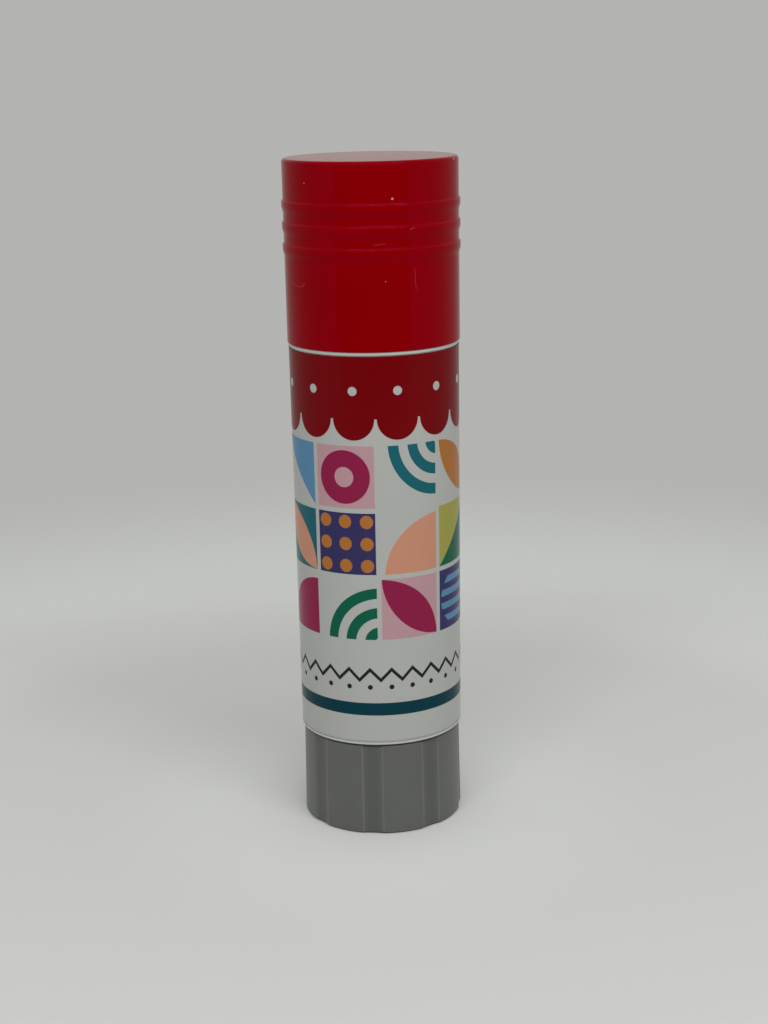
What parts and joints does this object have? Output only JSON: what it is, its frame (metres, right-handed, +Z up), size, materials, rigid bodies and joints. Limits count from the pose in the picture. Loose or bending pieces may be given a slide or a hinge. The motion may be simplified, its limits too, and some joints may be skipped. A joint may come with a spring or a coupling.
{
  "type": "glue stick",
  "caption": "Turn-up glue stick with a push-on cap, a labelled barrel and a fluted turning base that raises the adhesive.",
  "frame": {"origin": "centre of the turning base's underside, which stands on the table", "axes": "+Z up the stick's axis from the turning base to the cap, -Y towards the viewer of the picture"},
  "size_m": [0.0218, 0.0218, 0.084],
  "materials": {
    "cap_plastic": "red moulded polypropylene, glossy",
    "barrel_plastic": "white moulded polypropylene, satin gloss",
    "label_film": "printed white film, satin gloss",
    "knob_plastic": "grey moulded polypropylene, satin",
    "screw_plastic": "grey moulded plastic",
    "carrier_plastic": "white moulded plastic",
    "adhesive": "off-white waxy solid adhesive"
  },
  "bodies": {
    "barrel": {"barrel": "barrel_plastic", "label": "label_film"},
    "cap": {"cap": "cap_plastic"},
    "knob": {"knob": "knob_plastic", "spindle": "screw_plastic"},
    "carrier": {"carrier": "carrier_plastic", "adhesive": "adhesive"}
  },
  "joints": [
    {"name": "cap_pull", "type": "slide", "parent": "barrel", "child": "cap", "axis": [0, 0, 1], "range_m": [0, 0.03]},
    {"name": "knob_turn", "type": "hinge", "parent": "barrel", "child": "knob", "pos_m": [0, 0, 0], "axis": [0, 0, 1], "range_deg": [0, 1080]},
    {"name": "carrier_rise", "type": "slide", "parent": "barrel", "child": "carrier", "axis": [0, 0, 1], "range_m": [0, 0.015]}
  ],
  "couplings": [
    {"joint": "carrier_rise", "follows": "knob_turn", "m_per_rad": 0.00079577}
  ]
}
